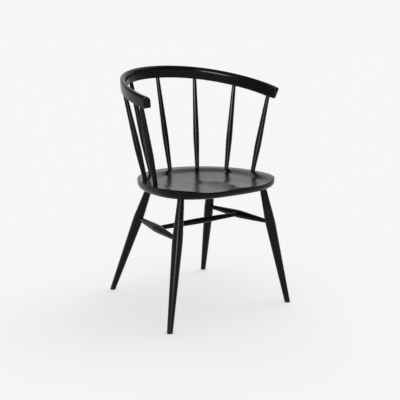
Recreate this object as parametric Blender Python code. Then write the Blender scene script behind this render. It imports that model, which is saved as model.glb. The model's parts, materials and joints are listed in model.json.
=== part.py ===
"""A low-back Windsor armchair in black lacquered wood.

A saddled seat stands on four splayed, turned legs that an H-shaped stretcher ties together.
Seven turned spindles rise from its rim and carry a bent bow, which is arms and back rail in one.
Every turned piece ends in tenons that sit in blind sockets.

Sizes are in metres, with +Z up. The chair faces -Y, and the left side is -X.
The origin lies on the floor, at the centre of the overall width and depth.
"""

import math

import bmesh
import bpy
from mathutils import Matrix, Vector

# Overall sizes and fits
OVERALL_HEIGHT = 0.760
OVERALL_DEPTH = 0.4846
SOCKET_CLEARANCE = 0.0003
LACQUER_BLACK = (0.010, 0.010, 0.011, 1.0)
LACQUER_ROUGHNESS = 0.32

# Seat outline, seen square to the seat, with reaches measured from its widest line
SEAT_WIDTH = 0.4184
SEAT_FRONT_REACH = 0.1772
SEAT_BACK_REACH = 0.2590
SEAT_FRONT_SQUARENESS = 2.66
SEAT_BACK_SQUARENESS = 2.00

# Seat height, slope and edge
SEAT_HEIGHT = 0.4235
SEAT_SLOPE = math.radians(2.3)
SEAT_THICKNESS = 0.0295
SEAT_TOP_ROUNDING = 0.003
SEAT_EDGE_BAND = 0.0085
SEAT_UNDER_EASE = 0.019

# Seat saddling: a dish inside a border, its low lip at the front, and a pommel ridge
DISH_DEPTH = 0.0075
DISH_BOWL = 0.0030
DISH_WALL = 0.046
DISH_SIDE_BORDER = 0.023
DISH_BACK_BORDER = 0.0415
DISH_FRONT_RUNOUT = 0.060
DISH_LIP = 0.0009
DISH_LIP_RUN = 0.030
POMMEL_SHARE = 0.90
POMMEL_BACK_END = 0.050
POMMEL_RISE = 0.120
POMMEL_FRONT_FALL = 0.055
POMMEL_FRONT_SHARE = 0.50
POMMEL_BACK_HALF_WIDTH = 0.034
POMMEL_SPREAD = 0.20
POMMEL_CREST_ROUNDING = 0.05

# Bow
BOW_HEIGHT = 0.0399
BOW_THICKNESS = 0.0187
BOW_OUTER_ROUNDING = 0.0070
BOW_INNER_EASE = 0.0156
BOW_LOWER_ROUNDING = 0.0035
BOW_BACK_RADIUS = 0.2235
BOW_BACK_TURN = math.radians(58.4)
BOW_ARM_RADIUS = 0.3593
BOW_SLOPE = math.radians(9.7)
BOW_BACK_LEAN = math.radians(4.9)
BOW_ARM_LEAN = math.radians(14.0)
BOW_LEAN_START = 0.153
BOW_ARM_OVERHANG = 0.0403
BOW_END_ROUNDING = 0.0077
BOW_END_TAPER = 0.0115
BOW_END_RAKE = math.radians(12.5)
BOW_END_TURN = math.radians(28.0)
BOW_END_RUN = 0.0286
BOW_END_RELIEF = 0.0022

# Spindles: lengths along the bow and the seat between them, counted from the back centre
BOW_REAR_LENGTH = 0.1347
BOW_SIDE_LENGTH = 0.1457
BOW_ARM_LENGTH = 0.1559
SEAT_REAR_LENGTH = 0.0985
SEAT_SIDE_LENGTH = 0.1042
SEAT_ARM_LENGTH = 0.1136
SPINDLE_SIDE_INSET = 0.0206
SPINDLE_BACK_INSET = 0.0372
SPINDLE_TOP_DIAMETER = 0.0130
SPINDLE_SWELL_DIAMETER = 0.0204
SPINDLE_FOOT_DIAMETER = 0.0145
SPINDLE_SWELL_SHARE = 0.36
SPINDLE_SWELL_BLEND = 0.020
SPINDLE_SEAT_TENON = 0.016
SPINDLE_BOW_TENON = 0.013
SPINDLE_TIP_DIAMETER = 0.0095
SPINDLE_CROSSING = 0.0045

# Legs: sockets measured in from the seat's edges, splay outward, rake to the front or rear
FRONT_LEG_SIDE_INSET = 0.0533
FRONT_LEG_FRONT_INSET = 0.0928
FRONT_LEG_SPLAY = math.radians(10.8)
FRONT_LEG_RAKE = math.radians(7.5)
BACK_LEG_SIDE_INSET = 0.0861
BACK_LEG_BACK_INSET = 0.1090
BACK_LEG_SPLAY = math.radians(9.95)
BACK_LEG_RAKE = math.radians(20.85)
LEG_TOP_DIAMETER = 0.0212
LEG_SWELL_DIAMETER = 0.0323
LEG_FOOT_DIAMETER = 0.0180
LEG_SWELL_BLEND = 0.020
LEG_TENON = 0.016

# Stretchers
STRETCHER_FRONT_HEIGHT = 0.2747
STRETCHER_BACK_HEIGHT = 0.2715
SIDE_STRETCHER_END_DIAMETER = 0.0140
SIDE_STRETCHER_SWELL_DIAMETER = 0.0265
SIDE_STRETCHER_SWELL_BLEND = 0.020
SIDE_STRETCHER_TENON = 0.019
CROSS_STRETCHER_END_DIAMETER = 0.0145
CROSS_STRETCHER_SWELL_DIAMETER = 0.0198
CROSS_STRETCHER_SWELL_BLEND = 0.030
CROSS_STRETCHER_TENON = 0.0125

# Facets and shares that only set how finely and how far shapes are drawn
SWELL_STEPS = 4
BLEND_LIMIT = 0.9
BOW_END_LIMIT = 0.42
BOW_OUTER_STEPS = 3
BOW_EASE_STEPS = 5
BOW_LOWER_STEPS = 2
BOW_SAME_POINT_SHARE = 0.001
BOW_END_SHARES = (0.33, 0.67, 1.0)
BOW_END_TURNS = (20.0, 42.0, 66.0, 90.0)
SEAT_UNDER_TURNS = (90.0, 67.5, 45.0, 22.5, 0.0)
SEAT_ROUNDING_TURNS = (0.0, 30.0, 60.0, 90.0)
SEAT_TOP_SHARES = (0.95, 0.90, 0.86, 0.82, 0.78, 0.73, 0.66, 0.56, 0.44, 0.30, 0.15, 0.04)
OUTLINE_FACETS = 72
LEG_FACETS = 20
SLIM_FACETS = 16
BOW_STEPS = 20
CURVE_STEPS = 400
CUTTER_REACH = 0.012
SHARP_EDGE_ANGLE = math.radians(40.0)


def ease_in_out(amount):
    """A smooth ramp from 0 to 1."""
    amount = min(max(amount, 0.0), 1.0)
    return amount * amount * (3.0 - 2.0 * amount)


def clear_scene():
    for old_object in list(bpy.data.objects):
        bpy.data.objects.remove(old_object, do_unlink=True)


def lacquer(name):
    """Black satin lacquer for one piece."""
    material = bpy.data.materials.new(name)
    material.use_nodes = True
    surface = material.node_tree.nodes["Principled BSDF"]
    surface.inputs["Base Color"].default_value = LACQUER_BLACK
    surface.inputs["Roughness"].default_value = LACQUER_ROUGHNESS
    surface.inputs["Metallic"].default_value = 0.0
    material.diffuse_color = LACQUER_BLACK
    return material


def loft(builder, rings):
    """Join rings of points, each counter-clockwise about the way they run, into a closed skin."""
    loops = []
    for ring in rings:
        loops.append([builder.verts.new(point) for point in ring])
    count = len(loops[0])
    for lower, upper in zip(loops, loops[1:]):
        for index in range(count):
            following = (index + 1) % count
            builder.faces.new((lower[index], lower[following], upper[following], upper[index]))
    builder.faces.new(list(reversed(loops[0])))
    builder.faces.new(loops[-1])


def add_piece(name, builder, placement, parent):
    """Turn the finished mesh into a named, placed object with its own material."""
    mesh = bpy.data.meshes.new(name)
    builder.normal_update()
    builder.to_mesh(mesh)
    builder.free()
    mesh.shade_smooth()
    mesh.set_sharp_from_angle(angle=SHARP_EDGE_ANGLE)
    mesh.materials.append(lacquer(name + "_lacquer"))
    piece = bpy.data.objects.new(name, mesh)
    bpy.context.collection.objects.link(piece)
    piece.parent = parent
    piece.matrix_basis = placement
    return piece


def turned_rings(profile, facets):
    """Rings of a turned piece that runs along +Z, from (height, radius) pairs."""
    rings = []
    for height, radius in profile:
        ring = []
        for index in range(facets):
            angle = 2.0 * math.pi * index / facets
            ring.append(Vector((radius * math.cos(angle), radius * math.sin(angle), height)))
        rings.append(ring)
    return rings


def swelling(low_end, swell_at, high_end, low_radius, swell_radius, high_radius, blend):
    """Two straight tapers that meet in a rounded swelling, as (height, radius) pairs."""
    low_run = swell_at - low_end
    high_run = high_end - swell_at
    blend = min(blend, BLEND_LIMIT * low_run, BLEND_LIMIT * high_run)
    ends_pull = 0.25 * blend * (low_radius / low_run + high_radius / high_run)
    crossing = (swell_radius - ends_pull) / (1.0 - 0.25 * blend * (1.0 / low_run + 1.0 / high_run))
    low_blend = crossing + (low_radius - crossing) * blend / low_run
    high_blend = crossing + (high_radius - crossing) * blend / high_run
    profile = [(low_end, low_radius)]
    for step in range(SWELL_STEPS + 1):
        share = step / SWELL_STEPS
        height = swell_at + blend * (2.0 * share - 1.0)
        radius = (1.0 - share) ** 2 * low_blend
        radius += 2.0 * share * (1.0 - share) * crossing
        radius += share ** 2 * high_blend
        profile.append((height, radius))
    profile.append((high_end, high_radius))
    return profile


def placed_along(start, direction):
    """A placement whose origin is the start point and whose +Z runs along the direction."""
    turn = direction.to_track_quat("Z", "Y").to_matrix().to_4x4()
    return Matrix.Translation(start) @ turn


def cut_sockets(piece, sockets, facets, parent):
    """Cut blind sockets, each a placement and the (height, radius) profile of its tenon space."""
    builder = bmesh.new()
    for placement, profile in sockets:
        rings = []
        for ring in turned_rings(profile, facets):
            rings.append([placement @ point for point in ring])
        loft(builder, rings)
    mesh = bpy.data.meshes.new(piece.name + "_socket_cutter")
    builder.to_mesh(mesh)
    builder.free()
    cutter = bpy.data.objects.new(piece.name + "_socket_cutter", mesh)
    bpy.context.collection.objects.link(cutter)
    cutter.parent = parent
    cutter.hide_render = True
    cutter.display_type = "WIRE"
    cut = piece.modifiers.new("sockets", "BOOLEAN")
    cut.operation = "DIFFERENCE"
    cut.solver = "EXACT"
    cut.object = cutter


def straight_socket(placement, mouth, tip, diameter):
    """The space for a straight tenon between two heights along its placement's Z axis."""
    radius = diameter / 2.0 + SOCKET_CLEARANCE
    reach = math.copysign(CUTTER_REACH, mouth - tip)
    ends = [(mouth + reach, radius), (tip - math.copysign(SOCKET_CLEARANCE, mouth - tip), radius)]
    return placement, sorted(ends)


# Seat

def outline_reach(angle, half_width, front_reach, back_reach):
    """How far an outline lies from the middle of its widest line, at an angle from +X."""
    across = abs(math.cos(angle)) / half_width
    if math.sin(angle) < 0.0:
        along = abs(math.sin(angle)) / front_reach
        squareness = SEAT_FRONT_SQUARENESS
    else:
        along = abs(math.sin(angle)) / back_reach
        squareness = SEAT_BACK_SQUARENESS
    return (across ** squareness + along ** squareness) ** (-1.0 / squareness)


def seat_reach(angle):
    return outline_reach(angle, SEAT_WIDTH / 2.0, SEAT_FRONT_REACH, SEAT_BACK_REACH)


def pommel_rise(across, along, depth):
    """Height of the pommel above the dish, a ridge that widens towards the front."""
    run = POMMEL_BACK_END - along
    if run <= 0.0:
        return 0.0
    height = POMMEL_SHARE * depth * ease_in_out(run / POMMEL_RISE)
    fall = 1.0 - ease_in_out((along + SEAT_FRONT_REACH) / POMMEL_FRONT_FALL)
    height *= 1.0 - (1.0 - POMMEL_FRONT_SHARE) * fall
    half_width = POMMEL_BACK_HALF_WIDTH + POMMEL_SPREAD * run
    off_crest = math.hypot(across / half_width, POMMEL_CREST_ROUNDING) - POMMEL_CREST_ROUNDING
    return height * max(0.0, 1.0 - off_crest) ** 2


def seat_surface(across, along):
    """Height of the saddled top above the plane of its rim, at a place on the seat."""
    distance = math.hypot(across, along)
    angle = math.atan2(along, across)
    half_width = SEAT_WIDTH / 2.0 - DISH_SIDE_BORDER
    dish_reach = outline_reach(
        angle,
        half_width,
        SEAT_FRONT_REACH + DISH_FRONT_RUNOUT,
        SEAT_BACK_REACH - DISH_BACK_BORDER,
    )
    inside = dish_reach - distance
    wall = ease_in_out(inside / DISH_WALL)
    bowl = max(0.0, 1.0 - (distance / dish_reach) ** 2)
    depth = DISH_DEPTH * wall + DISH_BOWL * bowl
    rim_distance = seat_reach(angle) - distance
    depth -= DISH_LIP * wall * max(0.0, 1.0 - rim_distance / DISH_LIP_RUN) ** 2
    return pommel_rise(across, along, depth) - depth


def seat_placement():
    """The seat's frame: its origin is on the rim plane, at the middle of the widest line."""
    front_edge = SEAT_FRONT_REACH * math.cos(SEAT_SLOPE)
    front_edge += (SEAT_TOP_ROUNDING + SEAT_EDGE_BAND) * math.sin(SEAT_SLOPE)
    origin = Vector((0.0, front_edge - OVERALL_DEPTH / 2.0, SEAT_HEIGHT))
    return Matrix.Translation(origin) @ Matrix.Rotation(-SEAT_SLOPE, 4, "X")


def seat_ring(place):
    """One ring of the seat, where place gives (reach, height) at an angle."""
    ring = []
    for index in range(OUTLINE_FACETS):
        angle = 2.0 * math.pi * index / OUTLINE_FACETS
        reach, height = place(angle)
        ring.append(Vector((reach * math.cos(angle), reach * math.sin(angle), height)))
    return ring


def rim_top(angle):
    reach = seat_reach(angle) - SEAT_TOP_ROUNDING
    return seat_surface(reach * math.cos(angle), reach * math.sin(angle))


def under_ring(turn):
    """A ring of the eased underside, where turn runs from 0 at the edge band to 90 degrees."""
    band_foot = SEAT_TOP_ROUNDING + SEAT_EDGE_BAND
    inset = SEAT_UNDER_EASE * (1.0 - math.cos(turn))
    drop = band_foot + (SEAT_THICKNESS - band_foot) * math.sin(turn)
    return seat_ring(lambda angle: (seat_reach(angle) - inset, -drop))


def rounding_ring(turn):
    """A ring of the rounded top edge, where turn runs from 0 at the edge band to 90 degrees."""
    inset = SEAT_TOP_ROUNDING * (1.0 - math.cos(turn))
    rise = SEAT_TOP_ROUNDING * (math.sin(turn) - 1.0)
    return seat_ring(lambda angle: (seat_reach(angle) - inset, rim_top(angle) + rise))


def top_ring(share):
    """A ring of the saddled top at a share of the way from the centre to the rim."""

    def place(angle):
        reach = share * (seat_reach(angle) - SEAT_TOP_ROUNDING)
        return reach, seat_surface(reach * math.cos(angle), reach * math.sin(angle))

    return seat_ring(place)


def build_seat(parent):
    rings = []
    for turn in SEAT_UNDER_TURNS:
        rings.append(under_ring(math.radians(turn)))
    for turn in SEAT_ROUNDING_TURNS:
        rings.append(rounding_ring(math.radians(turn)))
    for share in SEAT_TOP_SHARES:
        rings.append(top_ring(share))
    builder = bmesh.new()
    loft(builder, rings)
    return add_piece("seat", builder, seat_placement(), parent)


# Bow

def bow_end_rounding():
    """The radius that rounds an arm's end, which leaves a small flat on it."""
    return min(BOW_END_ROUNDING, BOW_END_LIMIT * BOW_THICKNESS)


def bow_section(drawn_in):
    """The bow's section as (outward, up) points about its middle.

    Drawn in runs from 0, the full section, to 1, the small flat at an arm's end.
    """
    half_height = BOW_HEIGHT / 2.0 - BOW_END_TAPER * drawn_in
    half_thickness = BOW_THICKNESS / 2.0 - bow_end_rounding() * drawn_in
    scale = half_thickness / (BOW_THICKNESS / 2.0)
    outer = BOW_OUTER_ROUNDING * scale
    ease = BOW_INNER_EASE * scale
    lower = BOW_LOWER_ROUNDING * scale
    ease_depth = 2.0 * half_thickness - outer
    corners = [
        (half_thickness - outer, half_height - outer, outer, outer, BOW_OUTER_STEPS),
        (ease_depth - half_thickness, half_height - ease, ease_depth, ease, BOW_EASE_STEPS),
        (lower - half_thickness, lower - half_height, lower, lower, BOW_LOWER_STEPS),
        (half_thickness - lower, lower - half_height, lower, lower, BOW_LOWER_STEPS),
    ]
    same_point = BOW_SAME_POINT_SHARE * BOW_THICKNESS
    points = []
    for quarter, (out_middle, up_middle, out_radius, up_radius, steps) in enumerate(corners):
        for step in range(steps + 1):
            turn = (quarter + step / steps) * math.pi / 2.0
            point = (out_middle + out_radius * math.cos(turn), up_middle + up_radius * math.sin(turn))
            if not points or math.dist(point, points[-1]) > same_point:
                points.append(point)
    return points


def bow_length():
    """Half the length of the bow's middle line, from the back centre to an arm's end."""
    return BOW_REAR_LENGTH + BOW_SIDE_LENGTH + BOW_ARM_LENGTH + BOW_ARM_OVERHANG


def bow_line(station):
    """Place (across, along) and turn of the middle line, at a distance from the back centre."""
    distance = abs(station)
    back_length = BOW_BACK_RADIUS * BOW_BACK_TURN
    turn = min(distance / BOW_BACK_RADIUS, BOW_BACK_TURN)
    across = BOW_BACK_RADIUS * math.sin(turn)
    along = BOW_BACK_RADIUS * (math.cos(turn) - 1.0)
    if distance > back_length:
        turn = BOW_BACK_TURN + (distance - back_length) / BOW_ARM_RADIUS
        across += BOW_ARM_RADIUS * (math.sin(turn) - math.sin(BOW_BACK_TURN))
        along += BOW_ARM_RADIUS * (math.cos(turn) - math.cos(BOW_BACK_TURN))
    side = math.copysign(1.0, station)
    return side * across, along, side * turn


def bow_lean(station):
    """How far the section leans outward from the bow's own upright, at a station."""
    run = bow_length() - BOW_LEAN_START
    share = ease_in_out((abs(station) - BOW_LEAN_START) / run)
    return BOW_BACK_LEAN + (BOW_ARM_LEAN - BOW_BACK_LEAN) * share


def bow_point(station, outward, up):
    """A point of the bow in its own frame, from its place in the section.

    Towards the arm ends the sections skew, so that the end faces turn outward and overhang, and
    the lower edge rises a little.
    """
    near_end = 1.0 - (bow_length() - abs(station)) / BOW_END_RUN
    near_end = min(max(near_end, 0.0), 1.0)
    below_middle = max(0.0, -2.0 * up / BOW_HEIGHT)
    up += BOW_END_RELIEF * below_middle * ease_in_out(2.0 * near_end)
    lean = bow_lean(station)
    out = outward * math.cos(lean) + up * math.sin(lean)
    height = up * math.cos(lean) - outward * math.sin(lean)
    skew = math.tan(BOW_END_RAKE) * height - math.tan(BOW_END_TURN) * out
    reach = abs(station) + skew * near_end
    across, along, turn = bow_line(math.copysign(reach, station))
    return Vector((across + out * math.sin(turn), along + out * math.cos(turn), height))


def bow_placement():
    """The bow's frame: its origin is the middle of the section at the back centre."""
    turn = Matrix.Rotation(BOW_SLOPE, 4, "X")
    rear_reach = 0.0
    top_reach = 0.0
    for outward, up in bow_section(0.0):
        point = turn @ bow_point(0.0, outward, up)
        rear_reach = max(rear_reach, point.y)
        top_reach = max(top_reach, point.z)
    origin = Vector((0.0, OVERALL_DEPTH / 2.0 - rear_reach, OVERALL_HEIGHT - top_reach))
    return Matrix.Translation(origin) @ turn


def bow_stations():
    """(station, drawn in) of each ring, from the -X arm's end to the +X arm's end."""
    rounding = bow_end_rounding()
    body = bow_length() - rounding
    plain = bow_length() - BOW_END_RUN
    side = [(plain * step / BOW_STEPS, 0.0) for step in range(1, BOW_STEPS + 1)]
    for share in BOW_END_SHARES:
        side.append((plain + (body - plain) * share, 0.0))
    for degrees in BOW_END_TURNS:
        turn = math.radians(degrees)
        side.append((body + rounding * math.sin(turn), 1.0 - math.cos(turn)))
    other_side = [(-station, drawn_in) for station, drawn_in in reversed(side)]
    return other_side + [(0.0, 0.0)] + side


def build_bow(parent):
    rings = []
    for station, drawn_in in bow_stations():
        ring = [bow_point(station, outward, up) for outward, up in bow_section(drawn_in)]
        rings.append(ring)
    builder = bmesh.new()
    loft(builder, rings)
    bmesh.ops.recalc_face_normals(builder, faces=builder.faces)
    return add_piece("bow", builder, bow_placement(), parent)


# Spindles

def seat_foot(distance, side):
    """Where a spindle stands on the seat, at a distance along the rim from the back centre."""
    half_width = SEAT_WIDTH / 2.0 - SPINDLE_SIDE_INSET
    front_reach = SEAT_FRONT_REACH - SPINDLE_SIDE_INSET
    back_reach = SEAT_BACK_REACH - SPINDLE_BACK_INSET
    previous = Vector((0.0, back_reach))
    travelled = 0.0
    place = previous
    for step in range(1, CURVE_STEPS):
        if travelled >= distance:
            break
        angle = math.pi / 2.0 - math.pi * step / CURVE_STEPS
        reach = outline_reach(angle, half_width, front_reach, back_reach)
        place = Vector((reach * math.cos(angle), reach * math.sin(angle)))
        run = (place - previous).length
        if travelled + run > distance:
            place = previous.lerp(place, (distance - travelled) / run)
        travelled += (place - previous).length
        previous = place
    return Vector((side * place.x, place.y, seat_surface(place.x, place.y)))


def spindle_plan():
    """Name, distance along the bow, distance along the seat and side of each spindle."""
    bow_side = BOW_REAR_LENGTH + BOW_SIDE_LENGTH
    seat_side = SEAT_REAR_LENGTH + SEAT_SIDE_LENGTH
    plan = [("spindle_back", 0.0, 0.0, 1.0)]
    for side, word in ((-1.0, "left"), (1.0, "right")):
        plan.append(("spindle_rear_" + word, BOW_REAR_LENGTH, SEAT_REAR_LENGTH, side))
        plan.append(("spindle_side_" + word, bow_side, seat_side, side))
        bow_arm = bow_side + BOW_ARM_LENGTH
        seat_arm = seat_side + SEAT_ARM_LENGTH
        plan.append(("spindle_arm_" + word, bow_arm, seat_arm, side))
    return plan


def build_spindles(parent):
    """Make the spindles, and return their sockets in the seat's and the bow's frames."""
    seat_frame = seat_placement()
    bow_frame = bow_placement()
    seat_sockets = []
    bow_sockets = []
    for name, bow_distance, seat_distance, side in spindle_plan():
        foot = seat_frame @ seat_foot(seat_distance, side)
        crossing_height = SPINDLE_CROSSING - BOW_HEIGHT / 2.0
        crossing = bow_frame @ bow_point(side * bow_distance, 0.0, crossing_height)
        direction = (crossing - foot).normalized()
        mouth = (crossing - foot).length - SPINDLE_CROSSING
        placement = placed_along(foot, direction)
        foot_radius = SPINDLE_FOOT_DIAMETER / 2.0
        top_radius = SPINDLE_TOP_DIAMETER / 2.0
        tip_radius = SPINDLE_TIP_DIAMETER / 2.0
        profile = [(-SPINDLE_SEAT_TENON, foot_radius)]
        profile += swelling(
            foot_radius,
            SPINDLE_SWELL_SHARE * mouth,
            mouth,
            foot_radius,
            SPINDLE_SWELL_DIAMETER / 2.0,
            top_radius,
            SPINDLE_SWELL_BLEND,
        )
        tip = mouth + SPINDLE_BOW_TENON
        profile.append((tip, tip_radius))
        builder = bmesh.new()
        loft(builder, turned_rings(profile, SLIM_FACETS))
        add_piece(name, builder, placement, parent)
        seat_space = straight_socket(placement, 0.0, -SPINDLE_SEAT_TENON, SPINDLE_FOOT_DIAMETER)
        seat_sockets.append((seat_frame.inverted() @ placement, seat_space[1]))
        bow_space = [
            (mouth - CUTTER_REACH, top_radius + SOCKET_CLEARANCE),
            (mouth, top_radius + SOCKET_CLEARANCE),
            (tip + SOCKET_CLEARANCE, tip_radius + SOCKET_CLEARANCE),
        ]
        bow_sockets.append((bow_frame.inverted() @ placement, bow_space))
    return seat_sockets, bow_sockets


# Legs and stretchers

def leg_line(side, at_front):
    """The foot's place on the floor, the unit direction up the leg, and its length to the seat."""
    half_width = SEAT_WIDTH / 2.0
    if at_front:
        across = half_width - FRONT_LEG_SIDE_INSET
        along = FRONT_LEG_FRONT_INSET - SEAT_FRONT_REACH
        splay, rake = FRONT_LEG_SPLAY, FRONT_LEG_RAKE
    else:
        across = half_width - BACK_LEG_SIDE_INSET
        along = SEAT_BACK_REACH - BACK_LEG_BACK_INSET
        splay, rake = BACK_LEG_SPLAY, -BACK_LEG_RAKE
    seat_point = seat_placement() @ Vector((side * across, along, -SEAT_THICKNESS))
    direction = Vector((-side * math.tan(splay), math.tan(rake), 1.0))
    foot = seat_point - direction * seat_point.z
    return foot, direction.normalized(), (seat_point - foot).length


def point_on_leg(side, at_front):
    """Where the side stretcher meets the leg's axis."""
    foot, direction, _ = leg_line(side, at_front)
    height = STRETCHER_FRONT_HEIGHT if at_front else STRETCHER_BACK_HEIGHT
    return foot + direction * (height / direction.z)


def build_leg(name, side, at_front, parent):
    """Make a leg, and return its placement and the profile of its socket in the seat."""
    foot, direction, length = leg_line(side, at_front)
    placement = placed_along(foot, direction)
    joint = (point_on_leg(side, at_front) - foot).length
    top_radius = LEG_TOP_DIAMETER / 2.0
    profile = swelling(
        0.0,
        joint,
        length - top_radius,
        LEG_FOOT_DIAMETER / 2.0,
        LEG_SWELL_DIAMETER / 2.0,
        top_radius,
        LEG_SWELL_BLEND,
    )
    spare = LEG_FOOT_DIAMETER
    taper = (profile[1][1] - profile[0][1]) / (profile[1][0] - profile[0][0])
    profile[0] = (-spare, profile[0][1] - taper * spare)
    profile.append((length + LEG_TENON, top_radius))
    builder = bmesh.new()
    loft(builder, turned_rings(profile, LEG_FACETS))
    floor_normal = placement.to_3x3().inverted() @ Vector((0.0, 0.0, 1.0))
    everything = builder.verts[:] + builder.edges[:] + builder.faces[:]
    bmesh.ops.bisect_plane(
        builder,
        geom=everything,
        plane_co=(0.0, 0.0, 0.0),
        plane_no=floor_normal,
        clear_inner=True,
    )
    rim = [edge for edge in builder.edges if edge.is_boundary]
    bmesh.ops.holes_fill(builder, edges=rim, sides=0)
    bmesh.ops.recalc_face_normals(builder, faces=builder.faces)
    leg = add_piece(name, builder, placement, parent)
    seat_space = straight_socket(placement, length, length + LEG_TENON, LEG_TOP_DIAMETER)
    return leg, seat_space


def stretcher_profile(length, tenon_tip, neck, end_diameter, swell_diameter, blend):
    """A stretcher between two joint centres, with its swelling at mid length."""
    end_radius = end_diameter / 2.0
    profile = [(tenon_tip, end_radius)]
    profile += swelling(
        neck,
        length / 2.0,
        length - neck,
        end_radius,
        swell_diameter / 2.0,
        end_radius,
        blend,
    )
    profile.append((length - tenon_tip, end_radius))
    return profile


def build_side_stretcher(name, side, legs, parent):
    """Make a side stretcher with its two sockets in the legs, and return it."""
    front = point_on_leg(side, True)
    back = point_on_leg(side, False)
    length = (back - front).length
    placement = placed_along(front, back - front)
    leg_radius = LEG_SWELL_DIAMETER / 2.0
    tenon_tip = leg_radius - SIDE_STRETCHER_TENON
    profile = stretcher_profile(
        length,
        tenon_tip,
        leg_radius + SIDE_STRETCHER_END_DIAMETER / 2.0,
        SIDE_STRETCHER_END_DIAMETER,
        SIDE_STRETCHER_SWELL_DIAMETER,
        SIDE_STRETCHER_SWELL_BLEND,
    )
    builder = bmesh.new()
    loft(builder, turned_rings(profile, SLIM_FACETS))
    stretcher = add_piece(name, builder, placement, parent)
    ends = ((legs[(side, True)], leg_radius, tenon_tip),
            (legs[(side, False)], length - leg_radius, length - tenon_tip))
    for leg, mouth, tip in ends:
        space = straight_socket(placement, mouth, tip, SIDE_STRETCHER_END_DIAMETER)
        in_leg = leg.matrix_basis.inverted() @ placement
        cut_sockets(leg, [(in_leg, space[1])], SLIM_FACETS, leg)
    return stretcher


def build_cross_stretcher(stretchers, parent):
    """Make the cross stretcher with its two sockets in the side stretchers."""
    middles = {}
    for side in (-1.0, 1.0):
        middles[side] = (point_on_leg(side, True) + point_on_leg(side, False)) / 2.0
    length = (middles[1.0] - middles[-1.0]).length
    placement = placed_along(middles[-1.0], middles[1.0] - middles[-1.0])
    side_radius = SIDE_STRETCHER_SWELL_DIAMETER / 2.0
    tenon_tip = side_radius - CROSS_STRETCHER_TENON
    profile = stretcher_profile(
        length,
        tenon_tip,
        side_radius + CROSS_STRETCHER_END_DIAMETER / 2.0,
        CROSS_STRETCHER_END_DIAMETER,
        CROSS_STRETCHER_SWELL_DIAMETER,
        CROSS_STRETCHER_SWELL_BLEND,
    )
    builder = bmesh.new()
    loft(builder, turned_rings(profile, SLIM_FACETS))
    add_piece("stretcher_cross", builder, placement, parent)
    ends = ((stretchers[-1.0], side_radius, tenon_tip),
            (stretchers[1.0], length - side_radius, length - tenon_tip))
    for stretcher, mouth, tip in ends:
        space = straight_socket(placement, mouth, tip, CROSS_STRETCHER_END_DIAMETER)
        in_stretcher = stretcher.matrix_basis.inverted() @ placement
        cut_sockets(stretcher, [(in_stretcher, space[1])], SLIM_FACETS, stretcher)


def build_chair():
    clear_scene()
    chair = bpy.data.objects.new("chair", None)
    bpy.context.collection.objects.link(chair)
    seat = build_seat(chair)
    bow = build_bow(chair)
    seat_sockets, bow_sockets = build_spindles(chair)
    cut_sockets(bow, bow_sockets, SLIM_FACETS, bow)
    legs = {}
    leg_sockets = []
    stretchers = {}
    for side, word in ((-1.0, "left"), (1.0, "right")):
        for at_front, end in ((True, "front"), (False, "back")):
            name = "leg_" + end + "_" + word
            leg, space = build_leg(name, side, at_front, chair)
            legs[(side, at_front)] = leg
            leg_sockets.append((seat.matrix_basis.inverted() @ space[0], space[1]))
        stretchers[side] = build_side_stretcher("stretcher_" + word, side, legs, chair)
    build_cross_stretcher(stretchers, chair)
    cut_sockets(seat, seat_sockets + leg_sockets, LEG_FACETS, seat)


build_chair()
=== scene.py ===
"""The looks of a low-back Windsor armchair in black lacquered wood.

Each piece is drawn again where the frame holds it, from the chair's own sizes, with finer steps and
softer edges. Its lacquer lies over a grain that runs along the piece.

Sizes are in metres, with +Z up. The chair faces -Y, and the left side is -X.
"""

import json
import math

import bpy
import numpy as np
from mathutils import Matrix, Vector

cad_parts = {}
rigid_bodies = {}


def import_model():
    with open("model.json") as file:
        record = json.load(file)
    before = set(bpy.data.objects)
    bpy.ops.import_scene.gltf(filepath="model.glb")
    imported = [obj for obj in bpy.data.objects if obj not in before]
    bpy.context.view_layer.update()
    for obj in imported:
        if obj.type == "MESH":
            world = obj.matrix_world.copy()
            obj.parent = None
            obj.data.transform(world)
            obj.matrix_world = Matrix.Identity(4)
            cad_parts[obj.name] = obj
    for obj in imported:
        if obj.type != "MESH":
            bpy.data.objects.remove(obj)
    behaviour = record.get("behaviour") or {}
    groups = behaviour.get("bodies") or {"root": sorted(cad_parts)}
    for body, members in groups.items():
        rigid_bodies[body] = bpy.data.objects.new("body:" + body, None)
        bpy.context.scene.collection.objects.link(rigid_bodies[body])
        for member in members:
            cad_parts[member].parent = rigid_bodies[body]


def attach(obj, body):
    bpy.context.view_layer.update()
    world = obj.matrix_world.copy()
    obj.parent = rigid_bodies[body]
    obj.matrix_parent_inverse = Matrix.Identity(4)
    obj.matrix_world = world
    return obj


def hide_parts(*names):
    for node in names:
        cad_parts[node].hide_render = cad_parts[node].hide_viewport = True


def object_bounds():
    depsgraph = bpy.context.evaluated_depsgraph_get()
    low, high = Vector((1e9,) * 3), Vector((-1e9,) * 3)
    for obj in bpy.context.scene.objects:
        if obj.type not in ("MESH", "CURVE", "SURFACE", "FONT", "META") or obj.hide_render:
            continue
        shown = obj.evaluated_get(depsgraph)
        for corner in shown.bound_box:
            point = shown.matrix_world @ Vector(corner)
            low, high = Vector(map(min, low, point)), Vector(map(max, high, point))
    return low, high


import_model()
cad_low, cad_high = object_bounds()

# Overall sizes, which the frame gives
OVERALL_HEIGHT = cad_high.z
OVERALL_DEPTH = cad_high.y - cad_low.y

# Seat outline, seen square to the seat, with reaches measured from its widest line
SEAT_WIDTH = 0.4184
SEAT_FRONT_REACH = 0.1772
SEAT_BACK_REACH = 0.2590
SEAT_FRONT_SQUARENESS = 2.66
SEAT_BACK_SQUARENESS = 2.00

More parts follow.
